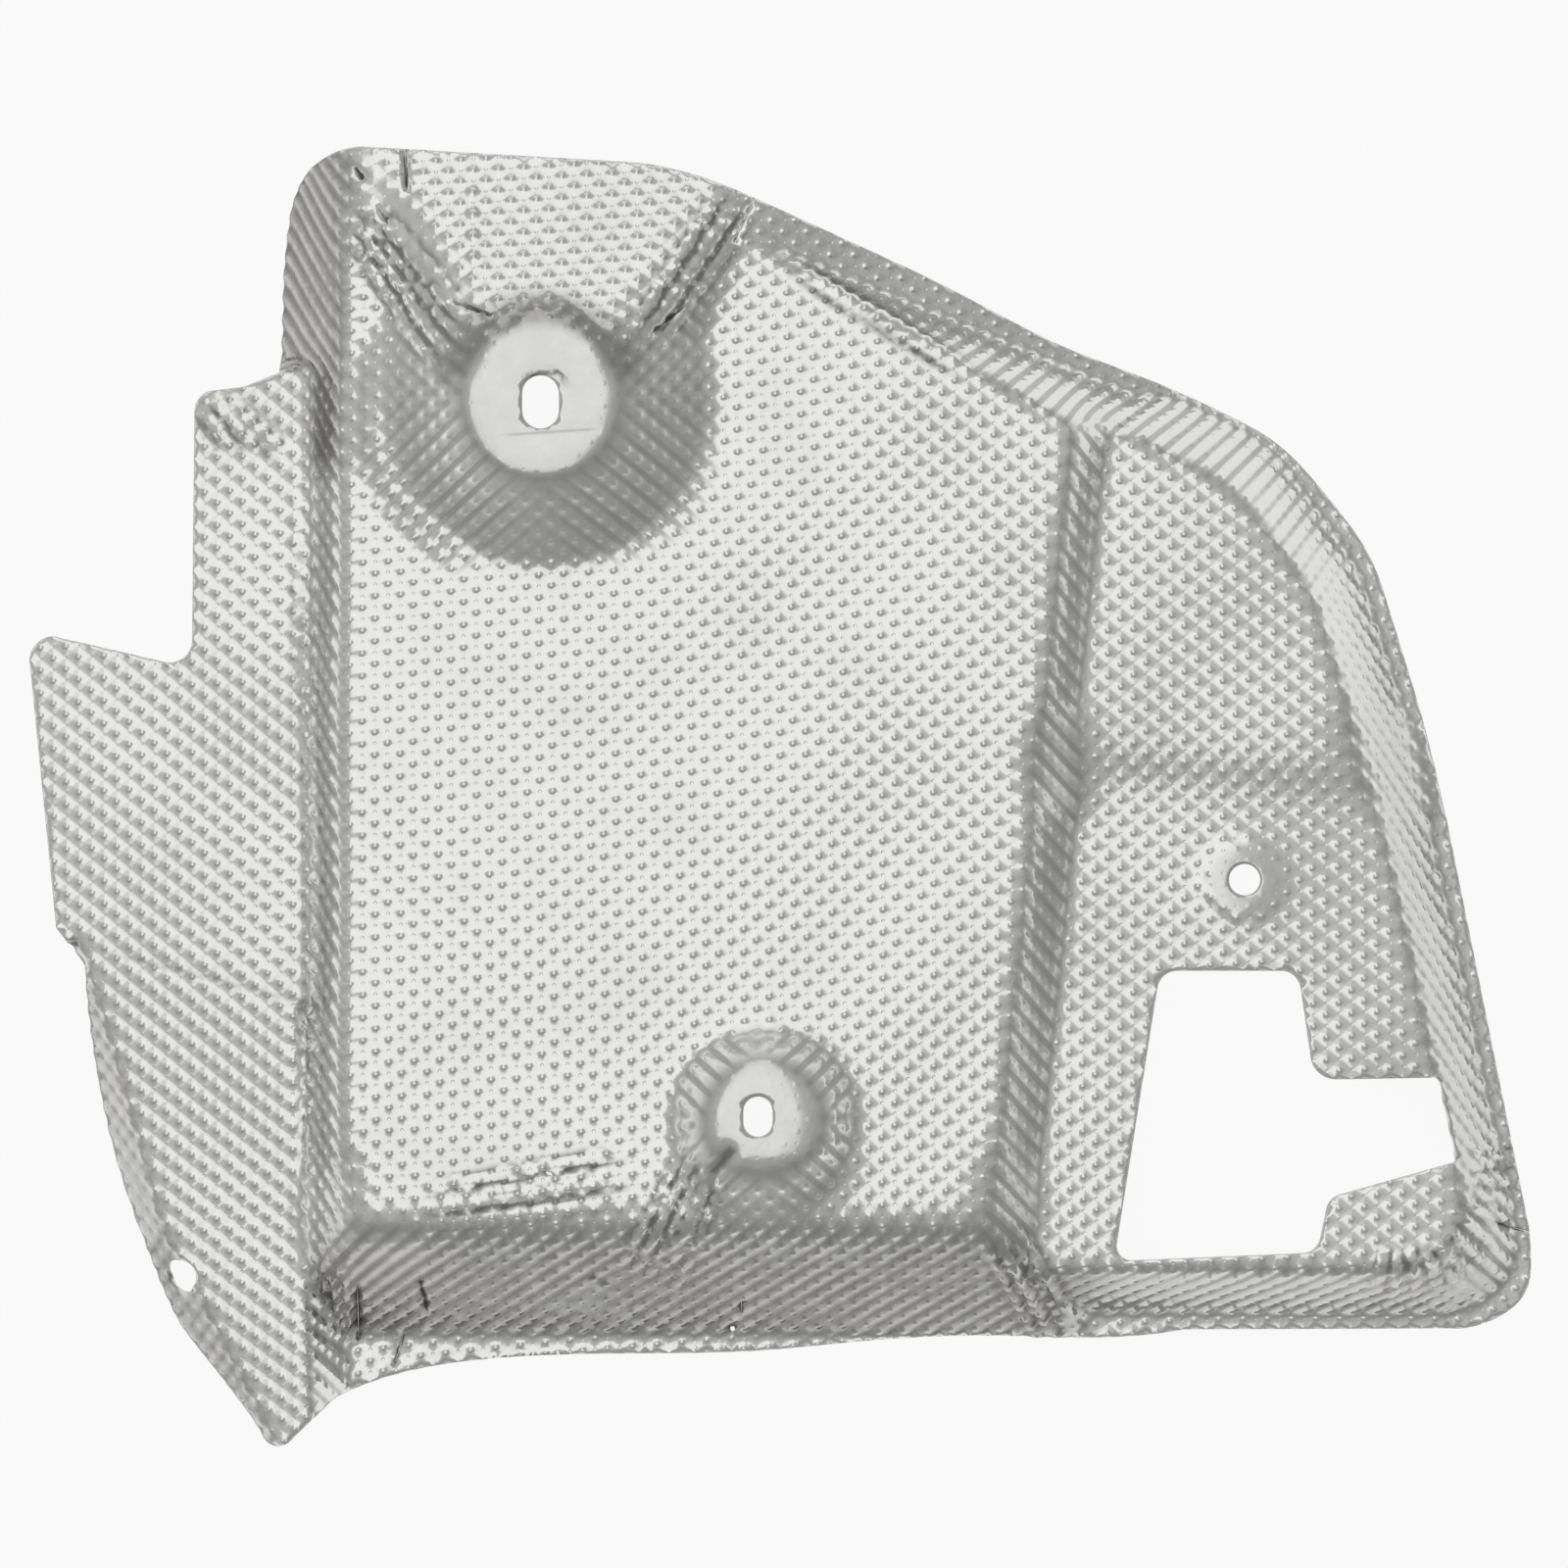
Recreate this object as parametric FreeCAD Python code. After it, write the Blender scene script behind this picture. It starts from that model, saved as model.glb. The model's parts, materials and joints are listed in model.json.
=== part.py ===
import FreeCAD, Part
import math
import os
from FreeCAD import Vector

# Pressed aluminium heat shield, mm, +Z up, lying on its rim with the raised side up.
# X runs along the long side of the sheet, Y across it. The sheet is the gap between two press forms:
# the outer one and the same form made smaller by the sheet's thickness.

# sheet
SHEET = 0.6
LIP = 0.6            # top of the rim flange, whose underside lies on the floor
DEEP = -25.0         # the press forms go down to here, below everything that is kept
HIGH = 75.0          # the cuts come down from here, above everything
SPARE = 8.0          # how far the press forms reach past the outline

# the trimmed sheet's limits: each moves its own end of the outline
TAB_X = -207.0       # outer edge of the wing's tab
RIGHT_X = 207.5      # right-hand rim at the lower corner
TOP_Y = 178.7        # top edge at the left corner
TIP_Y = -179.0       # lower tip of the wing

# main panel: level top, corners clockwise from the top left, and how far each wall runs out per mm of drop
MAIN_TOP = 38.0
MAIN_CORNERS = [(-121.5, 193.0), (-79.5, 193.0), (80.5, 103.5), (57.5, -119.5), (-121.5, -119.5)]
MAIN_FLARE = [0.0, 0.45, 0.83, 0.775, 0.46]
MAIN_CORNER_R = 9.0
MAIN_EDGE_R = 6.0

# side panel, a step lower, on the right, and its upper part, which stands a little above the rest
SIDE_TOP = 24.0
SIDE_CORNERS = [(54.5, 101.0), (99.0, 101.0), (126.0, 87.5), (148.0, 58.0), (161.5, 14.5),
                (192.5, -131.0), (54.5, -131.0)]
SIDE_FLARE = [0.50, 0.55, 0.55, 0.55, 0.55, 0.50, 0.0]
SIDE_CURVE_R = 55.0
SIDE_CORNER_R = 24.0
SIDE_EDGE_R = 6.0
RISE = 3.0
RISE_LINE = [(162.5, 7.0), (54.5, 15.0)]
RISE_FLARE = 2.2

# rim at the top right, which climbs from the side panel's rim to the main panel
CLIMB_LOW = (103.0, 111.5, 4.0)
CLIMB_HIGH = (-8.0, 163.0, 38.0)
CLIMB_HALF = 40.0
CLIMB_LEFT, CLIMB_RIGHT, CLIMB_FOOT = 60.0, 140.0, 90.0

# wing on the left: an upper plane and a lower one with a crease between, and the lower one's border bent down
CREASE_LEFT = (-199.0, -39.5, 17.0)
CREASE_RIGHT = (-123.5, -59.5, 23.0)
WING_TIP = (-139.5, -178.5, 15.0)
WING_TOP = 120.0     # the wing's planes run up to here,
WING_ROOT = -115.0   # and this far under the main panel above the crease
TIP_ROOT = -90.0     # and below it
FLANGE_LEFT = -137.0
BORDER_TOP = 25.0
BORDER_CORNERS = [(-134.6, TIP_Y + 5.2), (-166.9, -113.6), (-193.3, -25.0), (-134.6, -25.0)]
BORDER_FLARE = [0.62, 0.55, 0.0, 0.60]
BORDER_HOLE = (-165.7, -132.2, 13.2)
BORDER_HOLE_AXIS = (-0.449, -0.241, 0.861)
BORDER_HOLE_R = 5.0
BORDER_HOLE_REACH = 8.0

# fixing bosses: cones with a flat top
BOSS_A = (-65.8, 109.4)
BOSS_A_TOP = 54.0
BOSS_A_FLAT_R = 21.0
BOSS_A_FOOT_R = 47.0
BOSS_A_FOOT_FILLET = 10.0
BOSS_B = (-4.7, -88.6)
BOSS_B_TOP = 48.0
BOSS_B_FLAT_R = 16.5
BOSS_B_FOOT_R = 25.0
BOSS_B_FOOT_FILLET = 5.0
BOSS_EDGE_R = 4.0

# ramp from the upper boss to the top edge: ridge ends, lower edge ends, side feet
RAMP_HIGH = [(-81.0, 124.0), (-47.0, 124.0)]
RAMP_LOW = [(-115.0, 183.5), (-2.0, 183.5)]
RAMP_FEET = [(-107.0, 106.5), (-22.5, 106.5)]
RAMP_HIGH_Z = 53.3
RAMP_LOW_Z = 35.6

# slots in the bosses, round hole and cut-out in the side panel
SLOT_A = (-65.8, 108.2)
SLOT_A_R = 5.0
SLOT_A_LENGTH = 14.6
SLOT_B = (-6.3, -87.5)
SLOT_B_R = 4.0
SLOT_B_LENGTH = 11.0
HOLE = (127.6, -22.7)
HOLE_R = 4.3
PAD_FLAT_R = 8.5
PAD_FOOT_R = 13.0
PAD_HEIGHT = 1.2
CUTOUT = [(104.4, -47.8, 5.5), (142.4, -47.8, 5.5), (146.7, -77.8, 7.0), (181.3, -77.2, 1.5),
          (186.2, -100.2, 1.5), (150.8, -110.2, 5.0), (147.6, -125.3, 5.0), (91.7, -127.7, 4.0)]

# tears in the pressed sheet: both ends and the greatest width; an end past the outline opens at the edge
TEARS = [((197.2, -117.2), (217.2, -123.6), 1.0), ((-117.2, 173.5), (-114.6, 169.0), 0.8),
         ((-111.4, 162.8), (-107.3, 156.6), 0.8), ((-102.7, 165.8), (-103.8, 190.0), 0.7),
         ((-90.0, 135.6), (-78.4, 132.0), 0.9), ((-37.1, 125.8), (-26.3, 134.7), 0.9),
         ((-116.8, -133.9), (-116.8, -151.5), 0.9), ((-99.8, -132.6), (-97.6, -142.6), 0.8),
         ((-104.1, -148.0), (-107.3, -158.2), 0.7), ((-10.9, -138.9), (-10.9, -143.8), 0.8)]
PINHOLE = (-13.4, -147.4)
PINHOLE_R = 0.8

# runs of the outline, clockwise from the notch above the wing
NOTCH = (-138.2, 117.0)
LEFT_CORNER = [(-137.2, 146.0), (-135.4, 160.4), (-131.1, 171.2), (-123.8, TOP_Y - 2.1), (-115.4, TOP_Y)]
TOP_RUN = [(-42.5, TOP_Y - 4.3), (-26.3, 171.7), (-10.1, 165.8), (14.2, 155.0), (46.6, 140.1), (79.0, 123.9),
           (103.3, 114.8), (122.2, 106.4), (136.5, 98.3), (151.9, 82.2), (163.2, 65.9), (168.9, 49.7),
           (176.4, 25.4), (184.3, -7.0)]
RIGHT_CORNER = [(RIGHT_X - 0.5, -119.5), (RIGHT_X, -128.5), (RIGHT_X - 1.4, -136.6), (RIGHT_X - 7.0, -142.6),
                (184.3, -146.9)]
BOTTOM_RUN = [(111.4, -147.2), (79.0, -149.4), (62.8, -148.9), (22.3, -150.4), (-2.0, -152.8), (-50.6, -153.9),
              (-83.0, -155.5), (-107.3, -159.8), (-123.5, -166.1)]
TIP = [(-134.9, TIP_Y + 1.9), (-139.2, TIP_Y), (-142.4, TIP_Y + 1.9)]
BORDER_RUN = [TIP[2], (-153.8, -160.9), (-166.5, -144.7), (-173.5, -128.5), (-182.4, -104.2), (-188.3, -79.9),
              (-191.9, -46.5)]
TAB_FOOT = (TAB_X + 7.2, -36.0)
TAB_CORNER = [(TAB_X, 36.0), (TAB_X + 1.2, 41.8), (TAB_X + 6.5, 44.4)]
TAB_INNER = [(-171.0, 37.6), (-165.0, 38.2), (-162.2, 43.0)]
WING_CORNER = [(-161.6, 106.4), (-160.2, 110.2), (-156.0, 112.1)]
WING_EDGE = (-147.8, 113.1)


def faceted(faces):
    """A convex solid from flat faces, each a list of corner points."""
    points = [Vector(*p) for f in faces for p in f]
    middle = Vector(*[sum(p[k] for p in points) / len(points) for k in range(3)])
    sides = []
    for f in faces:
        ring = [Vector(*p) for p in f]
        if (ring[1] - ring[0]).cross(ring[2] - ring[1]).dot(ring[0] - middle) < 0:
            ring.reverse()
        sides.append(Part.Face(Part.makePolygon(ring + [ring[0]])))
    shell = Part.makeShell(sides)
    shell.sewShape()
    return Part.Solid(shell)


def walled(high, low):
    """A solid between an upper and a lower polygon."""
    n = len(high)
    return faceted([high, low] + [[high[i], high[(i + 1) % n], low[(i + 1) % n], low[i]] for i in range(n)])


def crossing(p, u, q, v):
    """Where two plan lines meet."""
    d = u[0] * v[1] - u[1] * v[0]
    s = ((q[0] - p[0]) * v[1] - (q[1] - p[1]) * v[0]) / d
    return (p[0] + s * u[0], p[1] + s * u[1])


def shrink(flare, inset):
    """How far a wall's upper edge moves in when the form is made smaller."""
    return inset * (math.sqrt(1 + flare * flare) - flare)


def moved(corners, shifts):
    """The polygon with each side moved out by its own shift; corners run clockwise."""
    lines = []
    for i, a in enumerate(corners):
        b = corners[(i + 1) % len(corners)]
        u = (b[0] - a[0], b[1] - a[1])
        k = shifts[i] / math.hypot(*u)
        lines.append(((a[0] - u[1] * k, a[1] + u[0] * k), u))
    return [crossing(*lines[i - 1], *lines[i]) for i in range(len(corners))]


def drafted(corners, flare, top, inset):
    """A block with a level top and flat walls that lean out."""
    upper = moved(corners, [-shrink(f, inset) for f in flare])
    lower = moved(corners, [f * (top - inset - DEEP) - shrink(f, inset) for f in flare])
    return walled([(x, y, top - inset) for x, y in upper], [(x, y, DEEP) for x, y in lower]), upper


def plane_through(a, b, c, inset):
    """z over a plan point, for the plane through three points moved down by the inset."""
    n = (Vector(*b) - Vector(*a)).cross(Vector(*c) - Vector(*a))
    drop = inset * n.Length / abs(n.z)
    return lambda x, y: a[2] - drop - (n.x * (x - a[0]) + n.y * (y - a[1])) / n.z


def sloped(corners, height):
    """An upright block under a sloping plane."""
    return walled([(x, y, height(x, y)) for x, y in corners], [(x, y, DEEP) for x, y in corners])


def middle_z(edge):
    return edge.valueAt((edge.FirstParameter + edge.LastParameter) / 2).z


def level_edges(solid, z):
    """The edges that lie at this height."""
    return [e for e in solid.Edges if abs(middle_z(e) - z) < 1e-4 and all(abs(v.Z - z) < 1e-4 for v in e.Vertexes)]


def corner_edges(solid, corners, z):
    """The slanting edges that come down from these top corners."""
    near = lambda v: abs(v.Z - z) < 1e-4 and min(math.hypot(v.X - x, v.Y - y) for x, y in corners) < 0.01
    return [e for e in solid.Edges if abs(middle_z(e) - z) > 1 and any(near(v) for v in e.Vertexes)]


def boss(centre, flat_r, foot_r, panel, top, fillet, inset):
    """A fixing boss: a cone with a rounded flat top and a rounded foot, on a panel at this height."""
    x, y = centre
    foot = panel - inset
    flare = (foot_r - flat_r) / (top - panel)
    back = shrink(flare, inset)
    base = Part.makeCylinder(foot_r + shrink(flare, fillet) + 0.2, 2, Vector(x, y, foot - 2))
    solid = Part.makeCone(foot_r - back, flat_r - back, top - panel, Vector(x, y, foot)).fuse(base).removeSplitter()
    rim = level_edges(solid, top - inset)
    solid = solid.makeFillet(BOSS_EDGE_R - inset, rim)
    ring = [e for e in level_edges(solid, foot) if abs(e.Curve.Radius - foot_r + back) < 0.01]
    return solid.makeFillet(fillet + inset, ring)


def press_form(inset):
    """The form that the sheet is pressed over, made smaller by the inset."""
    main, corners = drafted(MAIN_CORNERS, MAIN_FLARE, MAIN_TOP, inset)
    z = MAIN_TOP - inset
    main = main.makeFillet(MAIN_CORNER_R - inset, corner_edges(main, corners[2:], z))
    edges = [e for e in level_edges(main, z) if e.CenterOfMass.y < MAIN_CORNERS[0][1] - 1]
    main = main.makeFillet(MAIN_EDGE_R - inset, edges)

    side, corners = drafted(SIDE_CORNERS, SIDE_FLARE, SIDE_TOP, inset)
    z = SIDE_TOP - inset
    side = side.makeFillet(SIDE_CURVE_R - inset, corner_edges(side, corners[2:5], z))
    side = side.makeFillet(SIDE_CORNER_R - inset, corner_edges(side, corners[5:6], z))
    edges = [e for e in level_edges(side, z) if e.CenterOfMass.x > SIDE_CORNERS[0][0] + 5]
    side = side.makeFillet(SIDE_EDGE_R - inset, edges)

    shifts = [-f * RISE for f in SIDE_FLARE[:4]] + [-SIDE_FLARE[4] * RISE, 0, 0]
    rise, corners = drafted(moved(SIDE_CORNERS[:5] + RISE_LINE, shifts), SIDE_FLARE[:5] + [RISE_FLARE, 0.0],
                            SIDE_TOP + RISE, inset)
    z = SIDE_TOP + RISE - inset
    rise = rise.makeFillet(SIDE_CURVE_R - inset, corner_edges(rise, corners[2:5], z))
    edges = [e for e in level_edges(rise, z) if e.CenterOfMass.x > SIDE_CORNERS[0][0] + 5]
    rise = rise.makeFillet(SIDE_EDGE_R - inset, edges)

    flange = Part.makeBox(RIGHT_X + SPARE - FLANGE_LEFT, TOP_Y - TIP_Y + 2 * SPARE, LIP - inset - DEEP,
                          Vector(FLANGE_LEFT, TIP_Y - SPARE, DEEP))

    along = Vector(CLIMB_HIGH[0] - CLIMB_LOW[0], CLIMB_HIGH[1] - CLIMB_LOW[1], 0)
    cross = Vector(along.y, -along.x, 0).normalize()
    level = (CLIMB_LOW[0] + cross.x, CLIMB_LOW[1] + cross.y, CLIMB_LOW[2])
    start = [(CLIMB_HIGH[0] + k * cross.x, CLIMB_HIGH[1] + k * cross.y) for k in (-CLIMB_HALF, CLIMB_HALF)]
    start = sorted(start, key=lambda p: p[1])
    field = [(CLIMB_RIGHT, TOP_Y + SPARE), (CLIMB_RIGHT, CLIMB_FOOT), (CLIMB_LEFT, CLIMB_FOOT)]
    climb = sloped([start[1], *field, start[0]], plane_through(CLIMB_LOW, CLIMB_HIGH, level, inset))

    upper = plane_through(CREASE_LEFT, CREASE_RIGHT, (CREASE_RIGHT[0], 0, CREASE_RIGHT[2]), inset)
    lower = plane_through(CREASE_LEFT, CREASE_RIGHT, WING_TIP, inset)
    tilt = (CREASE_RIGHT[1] - CREASE_LEFT[1]) / (CREASE_RIGHT[0] - CREASE_LEFT[0])
    crease = lambda x: CREASE_LEFT[1] + (x - CREASE_LEFT[0]) * tilt
    edge = TAB_X - SPARE
    wing_upper = sloped([(edge, WING_TOP), (WING_ROOT, WING_TOP), (WING_ROOT, crease(WING_ROOT)),
                         (edge, crease(edge))], upper)
    border, corners = drafted(BORDER_CORNERS, BORDER_FLARE, BORDER_TOP, inset)
    wing_lower = sloped([(edge, crease(edge)), (TIP_ROOT, crease(TIP_ROOT)), (TIP_ROOT, TIP_Y - SPARE),
                         (edge, TIP_Y - SPARE)], lower).common(border)

    high = [(x, y, RAMP_HIGH_Z) for x, y in RAMP_HIGH]
    low = [(x, y, RAMP_LOW_Z) for x, y in RAMP_LOW]
    ridge = plane_through(low[0], low[1], high[0], 0)
    high = [(x, y, ridge(x, y)) for x, y in RAMP_HIGH]
    feet = [(x, y, RAMP_LOW_Z) for x, y in RAMP_FEET]
    under = [(x, y, DEEP) for x, y in RAMP_LOW + RAMP_FEET[::-1]]
    ramp = faceted([[low[0], low[1], high[1], high[0]], [low[0], high[0], feet[0]], [low[1], feet[1], high[1]],
                    [high[0], high[1], feet[1]], [high[0], feet[1], feet[0]], under,
                    [low[0], low[1], under[1], under[0]], [low[1], feet[1], under[2], under[1]],
                    [feet[1], feet[0], under[3], under[2]], [feet[0], low[0], under[0], under[3]]])
    ramp.translate(Vector(0, 0, -1.15 * inset))

    boss_a = boss(BOSS_A, BOSS_A_FLAT_R, BOSS_A_FOOT_R, MAIN_TOP, BOSS_A_TOP, BOSS_A_FOOT_FILLET, inset)
    boss_b = boss(BOSS_B, BOSS_B_FLAT_R, BOSS_B_FOOT_R, MAIN_TOP, BOSS_B_TOP, BOSS_B_FOOT_FILLET, inset)
    pad = boss(HOLE, PAD_FLAT_R, PAD_FOOT_R, SIDE_TOP, SIDE_TOP + PAD_HEIGHT, BOSS_B_FOOT_FILLET, inset)
    return main.fuse([side, rise, flange, climb, wing_upper, wing_lower, ramp, boss_a, boss_b, pad]).removeSplitter()


def line(a, b):
    return Part.makeLine(Vector(a[0], a[1], 0), Vector(b[0], b[1], 0))


def bend(a, b, c):
    """A plan arc through three points."""
    return Part.Arc(*[Vector(x, y, 0) for x, y in (a, b, c)]).toShape()


def through(points):
    """A smooth plan curve through these points."""
    curve = Part.BSplineCurve()
    curve.interpolate([Vector(x, y, 0) for x, y in points])
    return curve.toShape()


def rounded(corners):
    """A closed plan wire from corners with radii."""
    n = len(corners)
    ends = []
    for i, (x, y, r) in enumerate(corners):
        p = Vector(x, y, 0)
        a = (Vector(corners[i - 1][0], corners[i - 1][1], 0) - p).normalize()
        b = (Vector(corners[(i + 1) % n][0], corners[(i + 1) % n][1], 0) - p).normalize()
        half = a.getAngle(b) / 2
        back = r / math.tan(half)
        ends.append((p + a * back, p + (a + b).normalize() * (r / math.sin(half) - r), p + b * back))
    edges = []
    for i in range(n):
        edges += [Part.Arc(*ends[i]).toShape(), Part.makeLine(ends[i][2], ends[(i + 1) % n][0])]
    return Part.Wire(edges)


def slot(centre, r, length):
    """A slot that runs along Y."""
    x, y = centre
    half = length / 2 - r
    return Part.Wire([line((x + r, y - half), (x + r, y + half)),
                      bend((x + r, y + half), (x, y + half + r), (x - r, y + half)),
                      line((x - r, y + half), (x - r, y - half)),
                      bend((x - r, y - half), (x, y - half - r), (x + r, y - half))])


def tear(a, b, width):
    """A narrow opening between two points, widest in the middle."""
    k = width / 2 / math.hypot(b[0] - a[0], b[1] - a[1])
    middle = ((a[0] + b[0]) / 2, (a[1] + b[1]) / 2)
    side = (k * (a[1] - b[1]), k * (b[0] - a[0]))
    return Part.Wire([bend(a, (middle[0] + side[0], middle[1] + side[1]), b),
                      bend(b, (middle[0] - side[0], middle[1] - side[1]), a)])


def prism(wire):
    """The upright prism of a plan wire, through the whole sheet."""
    face = Part.Face(wire)
    face.translate(Vector(0, 0, DEEP))
    return face.extrude(Vector(0, 0, HIGH - DEEP))


outline = Part.Wire([
    line(NOTCH, LEFT_CORNER[0]), through(LEFT_CORNER),
    line(LEFT_CORNER[-1], TOP_RUN[0]), through(TOP_RUN),
    line(TOP_RUN[-1], RIGHT_CORNER[0]), through(RIGHT_CORNER),
    line(RIGHT_CORNER[-1], BOTTOM_RUN[0]), through(BOTTOM_RUN),
    line(BOTTOM_RUN[-1], TIP[0]), bend(*TIP), through(BORDER_RUN),
    line(BORDER_RUN[-1], TAB_FOOT), line(TAB_FOOT, TAB_CORNER[0]), bend(*TAB_CORNER),
    line(TAB_CORNER[-1], TAB_INNER[0]), bend(*TAB_INNER),
    line(TAB_INNER[-1], WING_CORNER[0]), bend(*WING_CORNER),
    line(WING_CORNER[-1], WING_EDGE), line(WING_EDGE, NOTCH),
])

sheet = press_form(0).cut(press_form(SHEET)).common(prism(outline))
openings = [slot(SLOT_A, SLOT_A_R, SLOT_A_LENGTH), slot(SLOT_B, SLOT_B_R, SLOT_B_LENGTH), rounded(CUTOUT)]
for wire in openings + [tear(*t) for t in TEARS]:
    sheet = sheet.cut(prism(wire))
for centre, r in ((HOLE, HOLE_R), (PINHOLE, PINHOLE_R)):
    sheet = sheet.cut(Part.makeCylinder(r, HIGH - DEEP, Vector(centre[0], centre[1], DEEP)))
axis = Vector(*BORDER_HOLE_AXIS)
sheet = sheet.cut(Part.makeCylinder(BORDER_HOLE_R, 2 * BORDER_HOLE_REACH,
                                  Vector(*BORDER_HOLE) - axis * BORDER_HOLE_REACH, axis))
sheet = sheet.Solids[0]
box = sheet.optimalBoundingBox(False)

os.makedirs("parts", exist_ok=True)
sheet.translate(Vector(-box.Center.x, -box.Center.y, -box.ZMin))
sheet.exportStep("parts/heat_shield.step")
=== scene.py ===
"""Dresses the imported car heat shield: the pressed sheet with its embossed pattern, and a plain pale studio."""
import json
import math

import bpy
import numpy as np
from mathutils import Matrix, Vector
from mathutils.bvhtree import BVHTree
from mathutils.geometry import delaunay_2d_cdt
from mathutils.kdtree import KDTree


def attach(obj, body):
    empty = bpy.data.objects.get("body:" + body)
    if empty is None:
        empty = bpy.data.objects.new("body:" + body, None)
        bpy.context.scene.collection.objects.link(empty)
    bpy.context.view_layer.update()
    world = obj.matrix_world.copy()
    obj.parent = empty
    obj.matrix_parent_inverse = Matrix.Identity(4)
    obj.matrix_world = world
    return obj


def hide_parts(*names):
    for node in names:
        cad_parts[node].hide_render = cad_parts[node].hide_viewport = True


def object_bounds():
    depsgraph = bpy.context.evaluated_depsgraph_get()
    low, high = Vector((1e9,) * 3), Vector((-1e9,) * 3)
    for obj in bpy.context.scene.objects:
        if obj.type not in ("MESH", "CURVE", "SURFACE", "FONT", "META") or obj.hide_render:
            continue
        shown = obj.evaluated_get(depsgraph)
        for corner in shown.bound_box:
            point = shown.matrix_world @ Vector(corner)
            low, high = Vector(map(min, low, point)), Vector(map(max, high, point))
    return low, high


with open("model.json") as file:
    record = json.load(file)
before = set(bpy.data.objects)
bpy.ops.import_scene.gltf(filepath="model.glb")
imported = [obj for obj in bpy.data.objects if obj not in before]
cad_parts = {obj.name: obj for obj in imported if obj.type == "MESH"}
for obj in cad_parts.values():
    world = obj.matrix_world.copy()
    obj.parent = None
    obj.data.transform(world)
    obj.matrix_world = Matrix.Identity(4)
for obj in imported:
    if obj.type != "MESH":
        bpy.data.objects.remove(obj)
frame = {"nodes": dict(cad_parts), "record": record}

bl_info = {
    "name": "Embossed heat shield",
    "version": (1, 0, 0),
    "blender": (4, 5, 0),
    "location": "View3D > Sidebar > Shield",
    "description": "Builds the embossed sheet of a car heat shield over its CAD solid, and a plain studio",
    "category": "Object",
}

CAD_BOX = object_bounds()
NODE = "heat_shield"
MM = 0.001


class ShieldSheet(bpy.types.PropertyGroup):
    """Sizes of the embossed sheet."""

    thickness: bpy.props.FloatProperty(
        name="Thickness", description="Thickness of the pressed sheet", default=0.0006, unit="LENGTH", precision=5)
    rounding: bpy.props.FloatProperty(
        name="Rounding", description="How far the folds of the solid are softened", default=0.0011, unit="LENGTH",
        precision=5)
    row_a: bpy.props.FloatVectorProperty(
        name="Emboss row", description="Step from one dot of the emboss to the next along a row", size=2,
        default=(0.00351, -0.00292), unit="LENGTH", precision=5)
    row_b: bpy.props.FloatVectorProperty(
        name="Emboss column", description="Step from one dot of the emboss to the next row", size=2,
        default=(-0.00348, -0.00332), unit="LENGTH", precision=5)
    ridge: bpy.props.FloatProperty(
        name="Ridge height", description="Height of the soft ridges along the rows of dots", default=0.00027,
        unit="LENGTH", precision=5)
    cross_ridge: bpy.props.FloatProperty(
        name="Cross ridge height", description="Height of the soft ridges across the rows", default=0.00008,
        unit="LENGTH", precision=5)
    dot: bpy.props.FloatProperty(
        name="Dot height", description="Height of the small dots of the emboss", default=0.00016, unit="LENGTH",
        precision=5)
    streak: bpy.props.FloatProperty(
        name="Streak height", description="Height of the streaks that the emboss is drawn out into", default=0.00085,
        unit="LENGTH", precision=5)
    dot_top: bpy.props.FloatProperty(
        name="Dot top", description="Radius of a dot's top, in shares of a step", default=0.11, min=0.05, max=0.2)
    dot_foot: bpy.props.FloatProperty(
        name="Dot foot", description="Radius of a dot's foot, in shares of a step", default=0.25, min=0.2, max=0.4)


class ShieldFinish(bpy.types.PropertyGroup):
    """Colours and gloss of the aluminium, and the colours of its painted shade."""

    metal: bpy.props.FloatVectorProperty(
        name="Aluminium", description="Colour of the bare sheet", subtype="COLOR", size=3, default=(0.80, 0.80, 0.79),
        min=0, max=1)
    # Painted shade: the darker colour of steep walls, walls facing down the picture and a few shaded corners.
    wall_shade_colour: bpy.props.FloatVectorProperty(
        name="Drawn aluminium", description="Colour where the press has drawn and rubbed the sheet", subtype="COLOR",
        size=3, default=(0.30, 0.296, 0.288), min=0, max=1)
    # Painted shade: the colour painted into the hollows of wrinkles, creases, tears and streaks.
    hollow_shade_colour: bpy.props.FloatVectorProperty(
        name="Dull aluminium", description="Colour in the hollows of folds and streaks", subtype="COLOR", size=3,
        default=(0.16, 0.157, 0.15), min=0, max=1)
    stain: bpy.props.FloatVectorProperty(
        name="Stain", description="Colour of the faint stains", subtype="COLOR", size=3, default=(0.62, 0.60, 0.57),
        min=0, max=1)
    gloss: bpy.props.FloatProperty(
        name="Roughness", description="Roughness of the flat sheet", subtype="FACTOR", default=0.17, min=0, max=1)


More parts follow.
